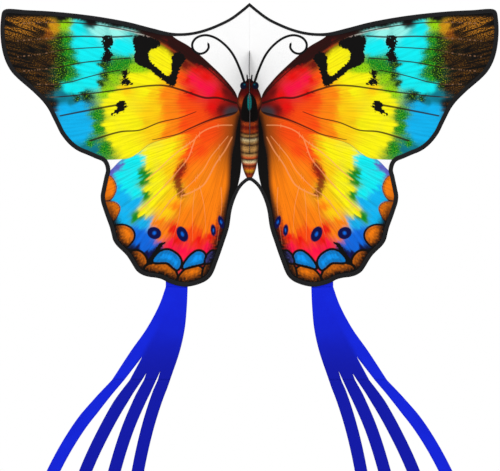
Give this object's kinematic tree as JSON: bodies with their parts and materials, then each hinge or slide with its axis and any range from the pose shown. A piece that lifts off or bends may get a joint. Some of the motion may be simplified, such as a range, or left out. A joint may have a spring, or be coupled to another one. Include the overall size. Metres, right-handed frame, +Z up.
{
  "type": "butterfly kite",
  "caption": "Butterfly kite with a printed folding two-wing sail on a fibreglass frame, a keel with a tow eyelet and two slit streamer tails.",
  "frame": {"origin": "the tow point: the centre of the eyelet at the tip of the keel", "axes": "+Z up with the kite upright as it flies, the printed face towards -Y, +X to the right as seen from the front; the centre seam lies in the plane x = 0"},
  "size_m": [1.4026, 0.1362, 1.746],
  "materials": {
    "sail_cloth": "printed polyester taffeta, slight sheen",
    "edge_tape": "black woven binding tape, stitched",
    "sleeve_cloth": "black woven sleeve and pocket cloth",
    "keel_cloth": "white ripstop polyester",
    "tail_cloth": "royal blue polyester, heat-cut edges",
    "fibreglass": "pultruded black glass fibre rod",
    "vinyl": "soft black vinyl",
    "eyelet_metal": "nickel plated, polished"
  },
  "bodies": {
    "spine": {"spine_rod": "fibreglass", "spine_cap_top": "vinyl", "spine_cap_bottom": "vinyl", "nose_pocket": "sleeve_cloth", "spine_end_pocket": "sleeve_cloth", "spine_sleeve_upper": "sleeve_cloth", "spine_sleeve_lower": "sleeve_cloth", "centre_seam_tape": "sail_cloth", "cross_hub": "vinyl"},
    "keel": {"keel_panel": "keel_cloth", "keel_hem": "edge_tape", "tow_eyelet": "eyelet_metal", "eyelet_washer": "eyelet_metal"},
    "left_wing": {"left_sail": "sail_cloth", "left_edge_binding": "edge_tape", "left_leading_rod": "fibreglass", "left_leading_sleeve": "sleeve_cloth", "left_leading_cap": "vinyl", "left_wing_tip_pocket": "sleeve_cloth", "left_leading_root_pocket": "sleeve_cloth", "left_cross_spar": "fibreglass", "left_cross_spar_cap": "vinyl", "left_cross_spar_pocket": "sleeve_cloth", "left_hub_arm": "vinyl", "left_hind_batten": "fibreglass", "left_batten_cap": "vinyl", "left_batten_root_pocket": "sleeve_cloth", "left_batten_end_pocket": "sleeve_cloth", "left_tail_tab": "tail_cloth"},
    "left_tail": {"left_tail_head": "tail_cloth"},
    "left_strip_1": {"left_tail_strip_1": "tail_cloth"},
    "left_strip_2": {"left_tail_strip_2": "tail_cloth"},
    "left_strip_3": {"left_tail_strip_3": "tail_cloth"},
    "left_strip_4": {"left_tail_strip_4": "tail_cloth"},
    "right_wing": {"right_sail": "sail_cloth", "right_edge_binding": "edge_tape", "right_leading_rod": "fibreglass", "right_leading_sleeve": "sleeve_cloth", "right_leading_cap": "vinyl", "right_wing_tip_pocket": "sleeve_cloth", "right_leading_root_pocket": "sleeve_cloth", "right_cross_spar": "fibreglass", "right_cross_spar_cap": "vinyl", "right_cross_spar_pocket": "sleeve_cloth", "right_hub_arm": "vinyl", "right_hind_batten": "fibreglass", "right_batten_cap": "vinyl", "right_batten_root_pocket": "sleeve_cloth", "right_batten_end_pocket": "sleeve_cloth", "right_tail_tab": "tail_cloth"},
    "right_tail": {"right_tail_head": "tail_cloth"},
    "right_strip_1": {"right_tail_strip_1": "tail_cloth"},
    "right_strip_2": {"right_tail_strip_2": "tail_cloth"},
    "right_strip_3": {"right_tail_strip_3": "tail_cloth"},
    "right_strip_4": {"right_tail_strip_4": "tail_cloth"}
  },
  "joints": [
    {"name": "keel_sway", "type": "hinge", "parent": "spine", "child": "keel", "pos_m": [0, 0.11, 0], "axis": [0, 0, 1], "range_deg": [-12, 12]},
    {"name": "left_wing_fold", "type": "hinge", "parent": "spine", "child": "left_wing", "pos_m": [0, 0.11, 0], "axis": [0, 0, 1], "range_deg": [-15, 70], "stiffness_Nm_per_rad": 0.3},
    {"name": "left_tail_swing", "type": "hinge", "parent": "left_wing", "child": "left_tail", "pos_m": [-0.205, 0.1116, -0.53], "axis": [1, 0, 0], "range_deg": [-25, 80]},
    {"name": "left_strip_1_swing", "type": "hinge", "parent": "left_tail", "child": "left_strip_1", "pos_m": [-0.375, 0.1116, -0.792], "axis": [1, 0, 0], "range_deg": [-20, 40]},
    {"name": "left_strip_2_swing", "type": "hinge", "parent": "left_tail", "child": "left_strip_2", "pos_m": [-0.32, 0.1116, -0.792], "axis": [1, 0, 0], "range_deg": [-20, 40]},
    {"name": "left_strip_3_swing", "type": "hinge", "parent": "left_tail", "child": "left_strip_3", "pos_m": [-0.28, 0.1116, -0.792], "axis": [1, 0, 0], "range_deg": [-20, 40]},
    {"name": "left_strip_4_swing", "type": "hinge", "parent": "left_tail", "child": "left_strip_4", "pos_m": [-0.241, 0.1116, -0.792], "axis": [1, 0, 0], "range_deg": [-20, 40]},
    {"name": "right_wing_fold", "type": "hinge", "parent": "spine", "child": "right_wing", "pos_m": [0, 0.11, 0], "axis": [0, 0, -1], "range_deg": [-15, 70], "stiffness_Nm_per_rad": 0.3},
    {"name": "right_tail_swing", "type": "hinge", "parent": "right_wing", "child": "right_tail", "pos_m": [0.205, 0.1116, -0.53], "axis": [1, 0, 0], "range_deg": [-25, 80]},
    {"name": "right_strip_1_swing", "type": "hinge", "parent": "right_tail", "child": "right_strip_1", "pos_m": [0.375, 0.1116, -0.792], "axis": [1, 0, 0], "range_deg": [-20, 40]},
    {"name": "right_strip_2_swing", "type": "hinge", "parent": "right_tail", "child": "right_strip_2", "pos_m": [0.32, 0.1116, -0.792], "axis": [1, 0, 0], "range_deg": [-20, 40]},
    {"name": "right_strip_3_swing", "type": "hinge", "parent": "right_tail", "child": "right_strip_3", "pos_m": [0.28, 0.1116, -0.792], "axis": [1, 0, 0], "range_deg": [-20, 40]},
    {"name": "right_strip_4_swing", "type": "hinge", "parent": "right_tail", "child": "right_strip_4", "pos_m": [0.241, 0.1116, -0.792], "axis": [1, 0, 0], "range_deg": [-20, 40]}
  ]
}
